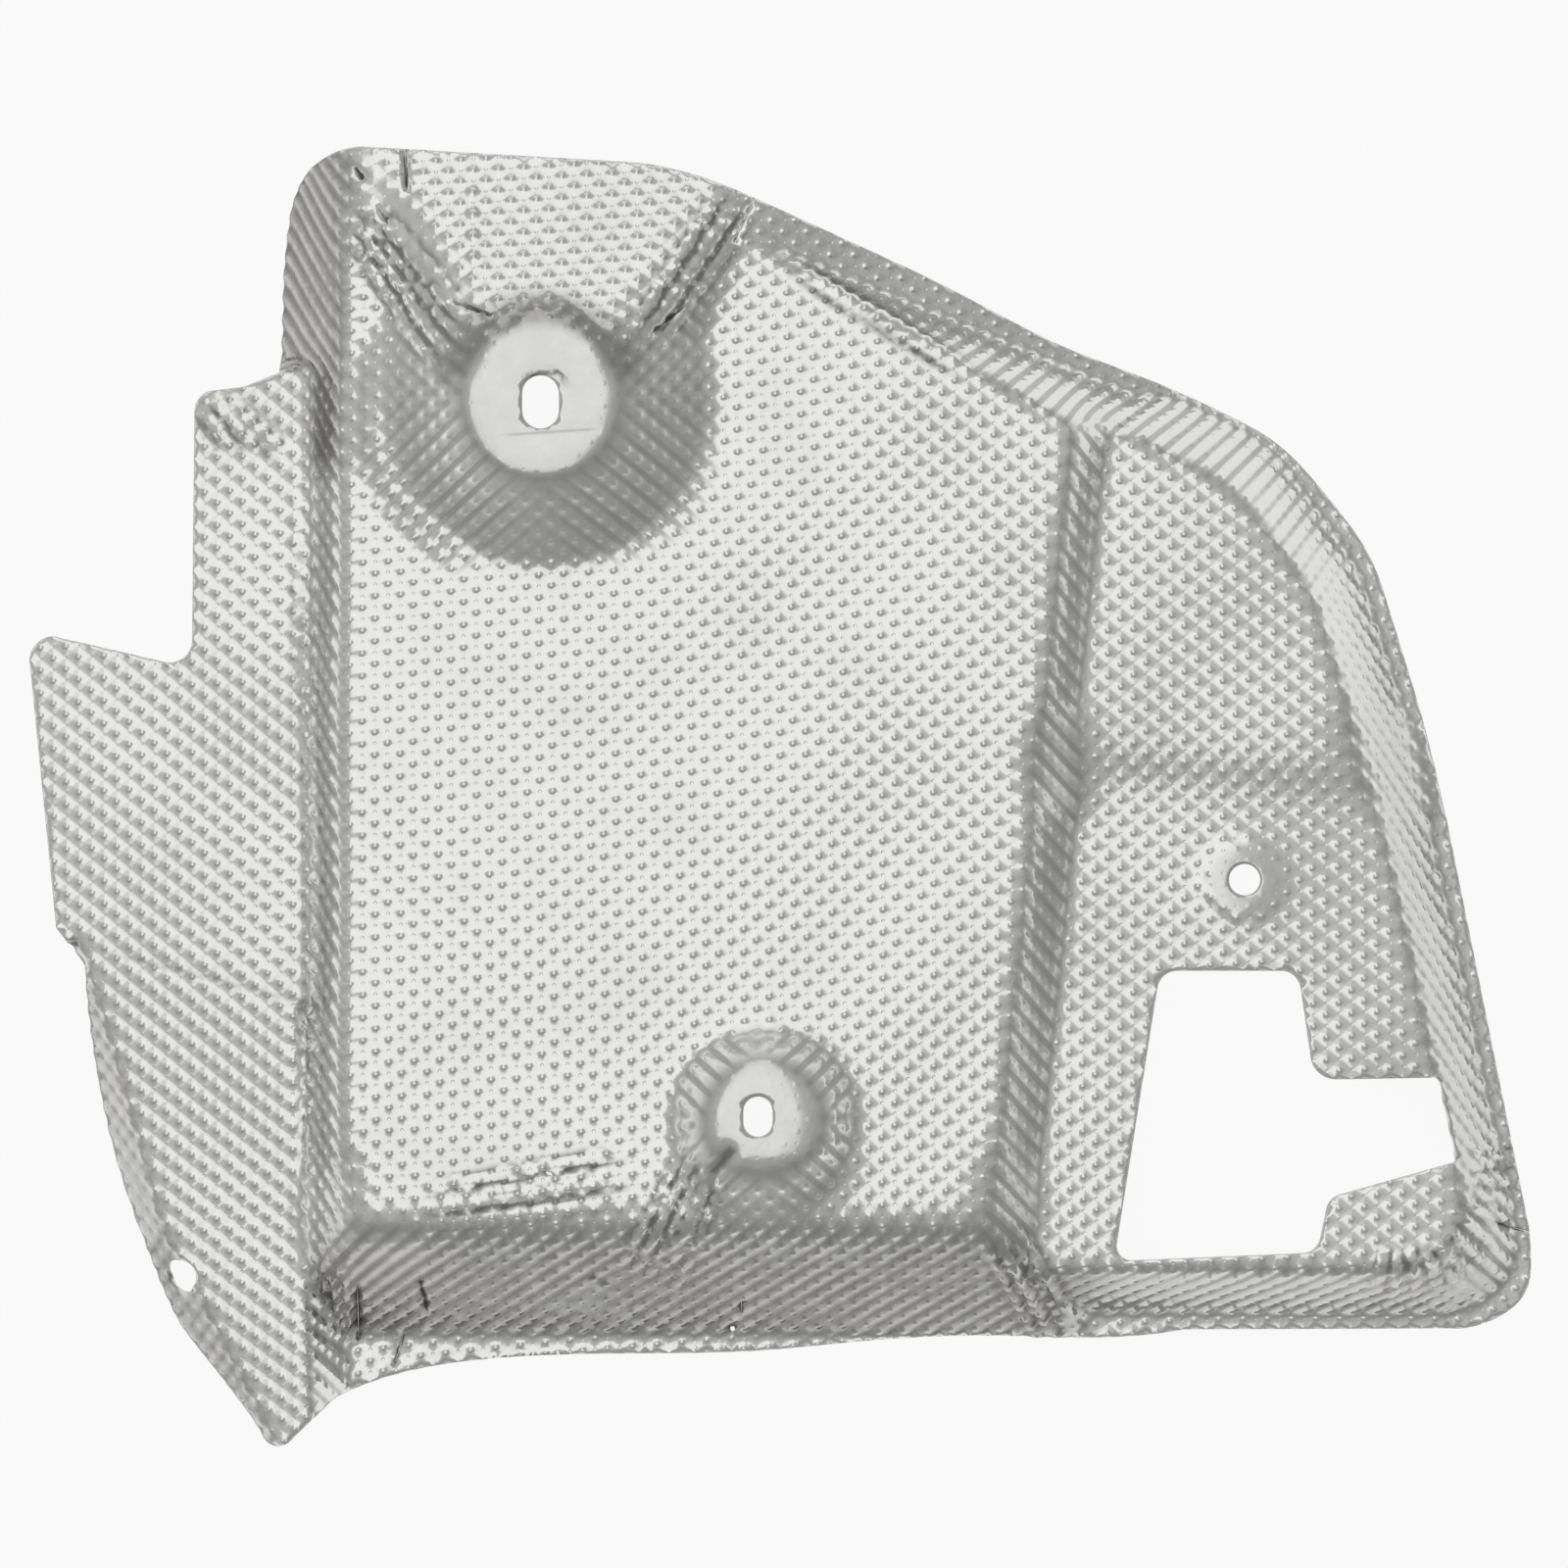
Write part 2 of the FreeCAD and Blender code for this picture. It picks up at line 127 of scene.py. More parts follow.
class ShieldStage(bpy.types.PropertyGroup):
    """Floor, light and camera."""

    floor: bpy.props.FloatVectorProperty(
        name="Floor", description="Colour of the floor", subtype="COLOR", size=3, default=(0.92, 0.92, 0.92), min=0,
        max=1)
    light_lean: bpy.props.FloatVectorProperty(
        name="Light lean", description="How much brighter the room is to the right and at the top of the picture",
        size=2, default=(-0.14, 0.20))
    softbox: bpy.props.FloatVectorProperty(
        name="Softbox", description="Width and length of the softbox", size=2, default=(0.48, 1.70), unit="LENGTH")
    softbox_place: bpy.props.FloatVectorProperty(
        name="Softbox place", description="Middle of the softbox", size=3, default=(-0.10, 0.55, 0.80), unit="LENGTH")
    softbox_glow: bpy.props.FloatProperty(
        name="Softbox glow", description="Brightness of the softbox as the sheet mirrors it", default=0.46, min=0)
    distance: bpy.props.FloatProperty(
        name="Camera distance", description="Height of the camera over the floor", default=5.0, unit="LENGTH")
    view_width: bpy.props.FloatProperty(
        name="View width", description="Width of the picture at the sheet", default=0.432, unit="LENGTH")
    view_centre: bpy.props.FloatVectorProperty(
        name="View centre", description="Point that the camera looks at", size=2, default=(0.0007, 0.0038),
        unit="LENGTH")


ROLL = 4.5
"""How far the soft rolls are rounded, in mm."""

ROLLS = (
    ([(-116, -113), (56, -113)], 13),
    ([(-114, 176), (-96, 146), (-86, 128)], 13),
    ([(-8, 168), (-40, 124)], 10),
    ([(78, 10), (176, 8)], 12),
    ([(-106, 118), (-108, 96), (-96, 74)], 10),
)
"""Folds that the press has left as broad rolls: their line in plan and how far the roll reaches, in mm."""

IRONED = (
    ([(76, 114), (82, 96), (79, 31), (66, -112)], 4.0, 0.35),
    ([(-115, 175), (-88, 135)], 3.5, 0.30),
    ([(-112, -124), (-111, -123)], 9.0, 0.25),
    ([(173, 97), (182, 40), (199, -66)], 3.0, 0.45),
)
"""Strips where the press has ironed the emboss out: their line in plan, half width in mm and the share that is left."""

FIXINGS = (("slot_large_boss", 20.5, 26.0), ("slot_small_boss", 15.5, 20.0), ("side_hole", 7.5, 10.5))
"""Fixing faces that are pressed smooth: the mount in their middle, and in mm the radius of the face and of its rim."""

CREASES = (
    ([(-80, 99.0), (-46, 101.3)], 1.3, -0.3, 0),
    ([(-86, 175), (-84.5, 155), (-83, 137)], 1.0, 0.35, 0),
    ([(-160, 108), (-152, 97)], 1.7, 1.3, 0),
    ([(-158, 111.5), (-145, 96)], 1.7, 1.3, 0),
    ([(-152, 109), (-137, 95)], 1.8, 1.2, 0),
    ([(-134.4, 90), (-129.6, 15), (-128.5, -66), (-129.6, -104), (-133, -139)], 1.6, 1.1, 4.7),
    ([(-12.4, -95.4), (-20.5, -103)], 2.2, -1.2, 0),
    ([(-191, -41.4), (-126, -58)], 2.0, -0.3, 0),
    ([(-52.5, -131.5), (-48, -133.5)], 1.1, -0.6, 0),
    ([(-51.5, -134.5), (-49.5, -130)], 1.0, 0.4, 0),
    ([(-71, 112), (-66.5, 116.6), (-61, 116.4), (-57.5, 111.5)], 1.4, -0.7, 0),
    ([(196.9, -117.3), (206, -120.2)], 1.0, -0.6, 0),
    ([(-103, 165.8), (-103.6, 178)], 1.0, -0.6, 0),
)
"""Single creases: their line in plan, half width, height and the spacing of beads along them, in mm."""

GATHERS = (
    ([(-122, 158), (-115, 169)], [(-93, 112), (-83, 133)], 6, 1.3, 1.0),
    ([(-17, 169), (-6, 162)], [(-43, 127), (-35, 120)], 4, 1.3, 1.0),
    ([(-127, -128), (-120, -127)], [(-125, -151), (-119, -150)], 5, 0.8, 0.9),
    ([(-99, -106), (-102, -119)], [(-42, -95), (-37, -111)], 4, 1.3, 0.7),
    ([(-28, -96.5), (-13.5, -100)], [(-46, -131), (-29, -138)], 7, 1.1, 0.9),
    ([(54.6, -122), (64, -116)], [(71, -152), (84, -148)], 5, 1.4, 1.6),
    ([(0.6, 149), (4.6, 143)], [(50.5, 119.5), (54.6, 114)], 4, 1.2, 0.7),
)
"""Wrinkles side by side from one line to another: both lines, how many, half width and height, in mm."""

FAN = ((169.3, -104.0), 20.0, 35.0, 15.0, -102.0, 24, 0.8, 0.8)
"""Wrinkles round the lower right corner: centre, two radii in mm, two angles in degrees, count, half width, height."""

PANEL_TOP = 38.5
"""Height in mm that only the bosses and the ramp rise above."""

RAMP_CORNER, RAMP_FADE = (-5.0, 122.0), (10.0, 14.0)
"""Lower right corner of the ramp, where the emboss is a checker, and how far it fades in along x and y, in mm."""

STREAK_TURN = 0.35
"""How far the streaks turn from straight down the walls, in radians."""

BOSS_STREAKS = ((24.0, 6.0), (66.0, 20.0), 8.0)
"""Streaks round the large boss: radii where they start and end with how far they fade, and how far up they reach."""

MAIN_WALL, RIGHT_WALL = (95.0, 20.0), (150.0, 20.0)
# Where along x the painted shade of the main panel's lower wall ends and that of the right-hand wall begins, and how
# far they fade, in mm.
"""Where along x the main panel's lower wall ends and the right-hand wall begins, and how far they fade, in mm."""

SHADED_CORNER = ((-112.0, 6.0), (85.0, 10.0))
# Upper left corner, painted with shade all over: where it starts and how far it fades along x and y, in mm.
"""Upper left corner, worn all over: where it starts and how far it fades along x and y, in mm."""

SHADE_BAND = (0.75, (19.5, 2.5), (34.0, 9.0), 12.0)
# Band of painted shade above the large boss's face: its share, radii where it starts and ends with their fades, fade
# along y.
"""Dull band above the large boss's face: its share, radii where it starts and ends with their fades, fade along y."""

TEAR_CREASE = (1.1, -0.55, 0)
"""Sunken lips of the tears: half width, height and the spacing of beads, as for the creases."""

EDGE_STEP = 1.1
"""Spacing of the points along the cut edges, in mm."""

RING_STEP, RING_SPACING, ROW_STEP = 1.6, 1.7, 1.4
"""Steps of the mesh on fixing faces in mm: from ring to ring, along a ring, and from row to row along the crease."""

STAIN_SCALE, CLOUD_SCALE, GRAIN_SCALE = 34.0, 210.0, 2600.0
"""Scales of the noise in the stains, the cloudy gloss and the grain of the metal, per metre."""

GRAIN_DEPTH, DOT_DEPTH = 0.00002, 0.00012
"""Depth of the grain and of the crisp edges of the dots, in metres."""

CREST_HIGHLIGHT, HOLLOW_SHADE, STAINING = 0.32, 0.40, 0.22
# Share of painted highlight on crests, of painted shade in hollows, and of stain where it is strongest.
"""Share of bare metal on crests, of dull metal in hollows, and of stain where it is strongest."""

ROOM_GLOW = ((0.0, 0.80), (0.16, 0.62), (0.36, 0.47), (0.62, 0.38), (0.86, 0.50), (1.0, 0.56))
"""Brightness of the room from the horizon to straight overhead."""

FLOOR_HALF, FLOOR_DROP, FLOOR_GLOW = 8.0, 0.0003, 0.90
"""Half the floor's width and how far it lies under the rim, in metres, and the share of it that glows when seen."""

MOST_TRIANGLES = 199000
"""Limit for the sheet."""


def tree_of(points):
    """Search tree of plan points."""
    tree = KDTree(len(points))
    for n, (x, y) in enumerate(points):
        tree.insert((x, y, 0), n)
    tree.balance()
    return tree


def along(p, line):
    """Distance of plan points from a line through several points, and how far along it they are, in mm."""
    line = np.array(line, float)
    best, place, run = np.full(len(p), 1e9), np.zeros(len(p)), 0.0
    for a, b in zip(line, line[1:]):
        d = b - a
        length = np.hypot(*d)
        t = np.clip((p - a) @ d / length ** 2, 0, 1)
        gap = np.hypot(*(p - a - t[:, None] * d).T)
        near = gap < best
        best = np.where(near, gap, best)
        place = np.where(near, run + t * length, place)
        run += length
    return best, place, run


def ease(t):
    """Smooth step from 0 to 1."""
    t = np.clip(t, 0, 1)
    return t * t * (3 - 2 * t)


def from_fixing(p, name):
    """Vectors in mm to plan points from the middle of a fixing face."""
    return p - next(np.array(m["pos_m"][:2]) / MM for m in frame["record"]["mounts"] if m["name"] == name)


def dished(p):
    """How far the flank of the large boss hollows in at plan points, in mm."""
    x, y = from_fixing(p, FIXINGS[0][0]).T
    r = np.hypot(x, y)
    t = np.clip((r - 21.0) / 26.0, 0, 1)
    side = np.clip(0.8 - 1.4 * y / np.maximum(r, 1), 0, 1)
    return 4 * t * (1 - t) * side * (0.9 + 1.3 * np.clip(-x / 25.0, 0, 1))


def rolled(p):
    """Share of the broad rounding at plan points in mm."""
    share = np.zeros(len(p))
    for line, reach in ROLLS:
        share = np.maximum(share, ease((1.6 * reach - along(p, line)[0]) / reach))
    for name, flat, _ in FIXINGS[:2]:
        r = np.hypot(*from_fixing(p, name).T)
        share = np.maximum(share, 0.45 * ease(1.6 - np.abs(r - flat) / 4.0))
    return share


def wrinkles(p, tears):
    """Height in mm of the creases, wrinkles and sunken lips of the tears at plan points, and their painted light and
    shade from -1, painted shade, to 1, painted highlight.
    """
    lines = list(CREASES) + tears
    for (a, b), (c, d), count, width, height in GATHERS:
        a, b, c, d = [np.array(q, float) for q in (a, b, c, d)]
        for k in range(count):
            t = (k + 0.5 + 0.22 * math.sin(2.3 * k)) / count
            middle = (a + (b - a) * t + c + (d - c) * t) / 2 + 0.6 * math.sin(1.7 * k)
            size = height * (1 + 0.3 * math.sin(3.1 * k + 1))
            lines.append(([a + (b - a) * t, middle, c + (d - c) * t], width, size, 0))
    centre, inner, outer, first, last, count, width, height = FAN
    for k in range(count):
        turn = math.radians(first + (last - first) * (k + 0.3 * math.sin(2.9 * k)) / (count - 1))
        out = np.array([math.cos(turn), math.sin(turn)])
        size = height * (1 + 0.4 * math.sin(3.7 * k))
        lines.append(([centre + inner * out, centre + outer * out], width, size, 0))
    rise, shade = np.zeros(len(p)), np.zeros(len(p))
    for line, width, height, beads in lines:
        corner = np.array(line, float)
        close = np.flatnonzero(((p > corner.min(0) - 3 * width) & (p < corner.max(0) + 3 * width)).all(1))
        gap, place, run = along(p[close], line)
        part = np.minimum(1, 0.15 + 4 * np.minimum(place, run - place) / run)
        if beads:
            part *= 0.45 + 0.55 * np.cos(2 * math.pi * place / beads)
        crest = np.exp(-(gap / width) ** 2)
        rise[close] += height * crest * part
        # Painted light and shade: lighter along raised lines and darker beside them, the other way round for sunken
        # ones.
        side = np.exp(-(gap / width / 1.8) ** 2) - crest
        shade[close] += (crest - 1.6 * side) * part * np.sign(height) * min(1.0, 1.3 * abs(height))
    return rise, np.clip(shade, -1, 1)


def sag(p):
    """The slight unevenness of a thin sheet, as a height at plan points in mm."""
    x, y = p[:, 0], p[:, 1]
    waves = np.sin(x / 11 + 0.7 * np.sin(y / 23)) * np.sin(y / 14 + 0.4) + 0.8 * np.sin((x + y) / 17 + 1.1) \
        + 0.7 * np.sin((x - 1.6 * y) / 21 + 2.0)
    return 0.22 * waves


class Relief:
    """The upper side of the solid as a height map in mm, and the flat blank that it was pressed from."""

    STEP = 0.75
    BLANK_STEP = 1.5

    def __init__(self, solid, rounding):
        verts = [v.co / MM for v in solid.data.vertices]
        faces = [tuple(p.vertices) for p in solid.data.polygons]
        tree = BVHTree.FromPolygons(verts, faces)
        low, high = np.array(CAD_BOX[0]) / MM, np.array(CAD_BOX[1]) / MM
        self.origin = low[:2] - 6.0
        self.shape = tuple(int(math.ceil((high[k] - low[k] + 12.0) / self.STEP)) + 1 for k in (1, 0))
        z = np.full(self.shape, np.nan)
        down = Vector((0, 0, -1))
        for j in range(self.shape[0]):
            y = self.origin[1] + j * self.STEP
            for i in range(self.shape[1]):
                hit = tree.ray_cast(Vector((self.origin[0] + i * self.STEP, y, 200.0)), down)[0]
                if hit is not None:
                    z[j, i] = hit.z
        self.solid = ~np.isnan(z)
        crisp = self.soften(z, rounding / MM / self.STEP)
        broad = self.soften(z, ROLL / self.STEP)
        x, y = np.meshgrid(*[self.origin[k] + np.arange(self.shape[1 - k]) * self.STEP for k in (0, 1)])
        plan = np.stack([x.ravel(), y.ravel()], 1)
        self.z = crisp + (broad - crisp) * rolled(plan).reshape(self.shape) - dished(plan).reshape(self.shape)
        self.slope = self.gradient(self.z, self.STEP)
        self.unfold()

    @staticmethod
    def blur(a, sigma):
        """The map blurred by this many steps of its grid."""
        reach = max(1, int(3 * sigma))
        k = np.exp(-0.5 * (np.arange(-reach, reach + 1) / sigma) ** 2)
        k /= k.sum()
        for axis in (0, 1):
            pad = [(reach, reach) if n == axis else (0, 0) for n in (0, 1)]
            wide = np.pad(a, pad, mode="edge")
            a = sum(w * np.take(wide, range(n, n + a.shape[axis]), axis=axis) for n, w in enumerate(k))
        return a

    def carry_on(self, z, reach):
        """Carries the surface on past its edges, level with them."""
        known = ~np.isnan(z)
        full = np.where(known, z, 0.0)
        for _ in range(int(reach / self.STEP)):
            near = [np.pad(a, 1) for a in (known.astype(float), full * known)]
            count, total = [sum(a[1 + j:a.shape[0] - 1 + j, 1 + i:a.shape[1] - 1 + i]
                                for j in (-1, 0, 1) for i in (-1, 0, 1)) for a in near]
            fresh = ~known & (count > 0)
            full = np.where(fresh, total / np.maximum(count, 1), full)
            known = known | fresh
        return full, known

    def soften(self, z, sigma):
        """Rounds the folds."""
        full, self.known = self.carry_on(z, 9.0)
        return self.blur(full * self.known, sigma) / np.maximum(self.blur(self.known.astype(float), sigma), 1e-6)

    @staticmethod
    def gradient(a, step):
        """Slopes of a map along x and y."""
        gy, gx = np.gradient(a, step)
        return gx, gy

    def sample(self, a, p, step=None):
        """Bilinear value of a map at plan points in mm."""
        f = (p - self.origin) / (step or self.STEP)
        i = np.clip(f[:, 0], 0, a.shape[1] - 1.001)
        j = np.clip(f[:, 1], 0, a.shape[0] - 1.001)
        i0, j0 = i.astype(int), j.astype(int)
        u, v = i - i0, j - j0
        return (a[j0, i0] * (1 - u) * (1 - v) + a[j0, i0 + 1] * u * (1 - v)
                + a[j0 + 1, i0] * (1 - u) * v + a[j0 + 1, i0 + 1] * u * v)

    def unfold(self):
        """Finds where each plan point lay on the flat blank: walls take more of the blank than they show in plan."""
        n = int(round(self.BLANK_STEP / self.STEP))
        gx, gy = self.slope[0][::n, ::n], self.slope[1][::n, ::n]
        keep = self.known[::n, ::n]
        g2 = gx * gx + gy * gy
        extra = (np.sqrt(1 + g2) - 1) / np.maximum(g2, 1e-9)
        weight = np.where(keep, 1.0 / (1.0 + 6.0 * g2), 0.0)
        wx = np.minimum(weight[:, 1:], weight[:, :-1])
        wy = np.minimum(weight[1:], weight[:-1])
        self.shift = []
        for tx, ty in ((extra * gx * gx, extra * gx * gy), (extra * gx * gy, extra * gy * gy)):
            fx = wx * self.BLANK_STEP * (tx[:, 1:] + tx[:, :-1]) / 2
            fy = wy * self.BLANK_STEP * (ty[1:] + ty[:-1]) / 2
            self.shift.append(self.settle(wx, wy, fx, fy))
        d = [self.gradient(s, self.BLANK_STEP) for s in self.shift]
        self.stretch = [d[0][0] + 1, d[0][1], d[1][0], d[1][1] + 1]
        j, i = np.nonzero(self.solid[::n, ::n])
        self.spots = self.origin + np.stack([i, j], 1) * self.BLANK_STEP
        self.near = tree_of(self.to_blank(self.spots))

    @staticmethod
    def settle(wx, wy, fx, fy):
        """Least squares: the map whose steps along the grid come nearest to the wanted ones, by conjugate gradients."""
        hold = 1e-6

        def spread(a, b):
            out = np.zeros((a.shape[0], a.shape[1] + 1))
            out[:, 1:] += a
            out[:, :-1] -= a
            out[1:] += b
            out[:-1] -= b
            return out

        def apply(s):
            return spread(wx * (s[:, 1:] - s[:, :-1]), wy * (s[1:] - s[:-1])) + hold * s

        around = np.zeros((wx.shape[0], wx.shape[1] + 1))
        around[:, 1:] += wx
        around[:, :-1] += wx
        around[1:] += wy
        around[:-1] += wy
        around += hold
        s = np.zeros_like(around)
        r = spread(fx, fy)
        q = r / around
        p = q.copy()
        rq = (r * q).sum()
        for _ in range(900):
            ap = apply(p)
            a = rq / (p * ap).sum()
            s += a * p
            r -= a * ap
            if np.abs(r).max() < 1e-5:
                break
            q = r / around
            new = (r * q).sum()
            p = q + (new / rq) * p
            rq = new
        return s

    def to_blank(self, p):
        """Blank points of plan points, in mm."""
        return p + np.stack([self.sample(s, p, self.BLANK_STEP) for s in self.shift], 1)

    def from_blank(self, m):
        """Plan points of blank points, by Newton steps from the nearest known one."""
        p = self.spots[[self.near.find((x, y, 0))[1] for x, y in m]]
        for k in range(18):
            miss = m - self.to_blank(p)
            a, b, c, d = [self.sample(s, p, self.BLANK_STEP) for s in self.stretch]
            det = np.maximum(a * d - b * c, 0.3)
            step = np.stack([(d * miss[:, 0] - b * miss[:, 1]) / det, (a * miss[:, 1] - c * miss[:, 0]) / det], 1)
            size = np.maximum(np.hypot(step[:, 0], step[:, 1]), 1e-9)
            p = p + step * np.minimum(1.0, 4.0 / size)[:, None] * (1.0 if k < 12 else 0.6)
        miss = np.hypot(*(m - self.to_blank(p)).T)
        return p, miss < 0.25

    def height_normal(self, p):
        """Height in mm and unit normal of the surface at plan points."""
        z = self.sample(self.z, p)
        gx, gy = self.sample(self.slope[0], p), self.sample(self.slope[1], p)
        n = np.stack([-gx, -gy, np.ones_like(gx)], 1)
        return z, n / np.linalg.norm(n, axis=1)[:, None]


def area(loop):
    """Area inside a closed plan loop."""
    x, y = loop.T
    return abs(np.sum(x * np.roll(y, -1) - y * np.roll(x, -1))) / 2


def cut_edges(solid):
    """Closed plan loops in mm round the upper side of the solid: the outline first, then the openings."""
    mesh = solid.data
    key, weld = {}, []
    for v in mesh.vertices:
        weld.append(key.setdefault(tuple(round(c / MM, 3) for c in v.co), len(key)))
    place = np.array(list(key))
    tree = BVHTree.FromPolygons([v.co / MM for v in mesh.vertices], [tuple(p.vertices) for p in mesh.polygons])
    edges = {}
    for p in mesh.polygons:
        if p.normal.z < 0.05:
            continue
        if tree.ray_cast(p.center / MM + Vector((0, 0, 0.02)), Vector((0, 0, 1)))[0] is not None:
            continue
        ring = [weld[v] for v in p.vertices]
        for a, b in zip(ring, ring[1:] + ring[:1]):
            if (b, a) in edges:
                del edges[(b, a)]
            else:
                edges[(a, b)] = True
    after = {}
    for a, b in edges:
        after.setdefault(a, []).append(b)
    loops = []
    while after:
        start = next(iter(after))
        loop, at = [], start
        while at in after:
            loop.append(at)
            nxt = after[at].pop()
            if not after[at]:
                del after[at]
            at = nxt
            if at == start:
                break
        if len(loop) > 5:
            loops.append(place[loop][:, :2])
    return sorted([q for q in loops if area(q) > 0.8], key=area, reverse=True)


def close_up(loop, gap):
    """A tear's loop with its two lips brought nearly together, and the line it runs along."""
    middle = loop.mean(0)
    run = np.linalg.svd(loop - middle)[2][0]
    side = np.array([-run[1], run[0]])
    t, w = (loop - middle) @ run, (loop - middle) @ side
    return middle + t[:, None] * run + gap * w[:, None] * side, [middle + run * t.min(), middle + run * t.max()]


def closed_tears(loops):
    """The loops with those of tears nearly closed, and the tears as creases."""
    out, tears = [], []
    for q in loops:
        long, wide = np.linalg.svd(q - q.mean(0), compute_uv=False)
        if long > 2.5 * wide and np.ptp(q, 0).max() < 60:
            q, line = close_up(q, 0.12)
            tears.append((line, *TEAR_CREASE))
        out.append(q)
    return out, tears


def pinch(loop, reach, gap):
    """The outline with the lips of the tears that open at it brought nearly together."""
    length = np.concatenate([[0], np.cumsum(np.hypot(*(np.roll(loop, -1, 0) - loop).T))])
    place, whole, out = length[:-1], length[-1], loop.copy()
    for n, q in enumerate(loop):
        away = np.abs(place - place[n])
        far = np.minimum(away, whole - away) > 2.5 * reach
        k = np.argmin(np.where(far, np.hypot(*(loop - q).T), 1e9))
        if np.hypot(*(loop[k] - q)) < reach:
            out[n] = q + (loop[k] - q) * (1 - gap) / 2
    return out


def even_loop(loop, step):
    """The loop with points about this far apart, and its corners kept."""
    before, after = loop - np.roll(loop, 1, 0), np.roll(loop, -1, 0) - loop
    turn = np.abs(np.arctan2(before[:, 0] * after[:, 1] - before[:, 1] * after[:, 0], (before * after).sum(1)))
    corners = np.flatnonzero(turn > math.radians(28))
    if len(corners) == 0:
        corners = np.array([0])
    loop = np.roll(loop, -corners[0], 0)
    corners = corners - corners[0]
    out = []
    for n, a in enumerate(corners):
        b = corners[n + 1] if n + 1 < len(corners) else len(loop)
        run = np.vstack([loop[a:b], loop[b % len(loop)]])
        length = np.concatenate([[0], np.cumsum(np.hypot(*np.diff(run, axis=0).T))])
        count = max(1, int(round(length[-1] / step)))
        t = np.arange(count) * length[-1] / count
        out.append(np.stack([np.interp(t, length, run[:, k]) for k in (0, 1)], 1))
    out = np.vstack(out)
    gap = np.hypot(*(out - np.roll(out, 1, 0)).T)
    return out[gap > 0.15]


def smooth_points():
    """Plan points in mm on the fixing faces: rings, and rows along the crease in the large boss's face."""
    rings = []
    for name, _, rim in FIXINGS:
        for n, r in enumerate(np.arange(rim - 0.4, 2, -RING_STEP)):
            count = int(2 * math.pi * r / RING_SPACING)
            turn = (np.arange(count) + 0.5 * (n % 2)) * 2 * math.pi / count
            rings.append(np.stack([r * np.cos(turn), r * np.sin(turn)], 1) - from_fixing(np.zeros((1, 2)), name))
    rings = np.vstack(rings)
    line = CREASES[0][0]
    rings = rings[along(rings, line)[0] > 2.3]
    rows = [np.linspace(*np.array(line), 28) + (0, gap) for gap in (-ROW_STEP, 0.0, ROW_STEP)]
    return np.vstack([rings, *rows])


def blank_points(relief, basis, pattern, loops, clear):
    """Points of the flat blank that repeat with the emboss, and their plan places: only those inside the sheet."""
    corners = relief.to_blank(np.vstack(loops))
    share = corners @ np.linalg.inv(basis).T
    low, high = np.floor(share.min(0)) - 1, np.ceil(share.max(0)) + 1
    i, j = np.meshgrid(np.arange(low[0], high[0]), np.arange(low[1], high[1]))
    cells = np.stack([i.ravel(), j.ravel()], 1)
    share = (cells[:, None, :] + pattern[None]).reshape(-1, 2)
    blank = share @ basis.T
    plan, found = relief.from_blank(blank)
    for name, _, rim in FIXINGS:
        found &= np.hypot(*from_fixing(plan, name).T) > rim
    smooth = smooth_points()
    blank, plan = np.vstack([blank[found], relief.to_blank(smooth)]), np.vstack([plan[found], smooth])
    inside = relief.sample(relief.solid.astype(float), plan) > 0.5
    blank, plan = blank[inside], plan[inside]
    near = tree_of(relief.to_blank(np.vstack([even_loop(q, 0.4) for q in loops])))
    away = np.array([near.find((x, y, 0))[2] for x, y in blank]) > clear
    return blank[away], plan[away]


def fill(blank, loops):
    """Triangles of the blank inside the first loop and outside the others."""
    points = [tuple(p) for loop in loops for p in loop] + [tuple(p) for p in blank]
    edges, first = [], 0
    for loop in loops:
        n = len(loop)
        edges += [(first + k, first + (k + 1) % n) for k in range(n)]
        first += n
    out = delaunay_2d_cdt([Vector(p) for p in points], edges, [], 0, 1e-7, True)
    made = np.array([tuple(v) for v in out[0]])
    tris = np.array([t for t in out[2] if len(t) == 3])
    order = np.array([s[0] if s else -1 for s in out[3]])
    rim = (order[tris] < first).all(1)
    middle = made[tris[rim]].mean(1)
    odd = np.zeros(len(middle), bool)
    for loop in loops:
        for a, b in zip(loop, np.roll(loop, -1, 0)):
            spans = (a[1] > middle[:, 1]) != (b[1] > middle[:, 1])
            across = a[0] + (middle[:, 1] - a[1]) * (b[0] - a[0]) / (b[1] - a[1] if b[1] != a[1] else 1e-12)
            odd ^= spans & (middle[:, 0] < across)
    keep = np.ones(len(tris), bool)
    keep[np.flatnonzero(rim)[~odd]] = False
    return made, tris[keep], order


def lay_blank(relief, basis, loops, settings):
    """Upper and lower side: plan points in mm, their places on the emboss, triangles, and the points' first numbers."""
    turn = np.arange(6) * math.pi / 3
    ring = np.stack([np.cos(turn), np.sin(turn)], 1)
    coarse = np.array([[0.0, 0.0], [0.5, 0.5]])
    grid = np.vstack([coarse, [[0.5, 0.0], [0.0, 0.5]], settings.dot_top * ring,
                      settings.dot_foot * ring @ np.array([[0.866, 0.5], [-0.5, 0.866]])])
    edge = [relief.to_blank(q) for q in loops]
    sides = []
    for pattern, clear in ((grid, 0.55), (coarse, 1.2)):
        blank, plan = blank_points(relief, basis, pattern, loops, clear)
        made, tris, order = fill(blank, edge)
        known, place = np.vstack([*edge, blank]), np.vstack([*loops, plan])
        p = place[np.maximum(order, 0)]
        for k in np.flatnonzero(order < 0):
            near = np.argmin(np.hypot(*(known - made[k]).T))
            p[k] = place[near] + made[k] - known[near]
        sides.append((p, made @ np.linalg.inv(basis).T, tris, order))
    return sides


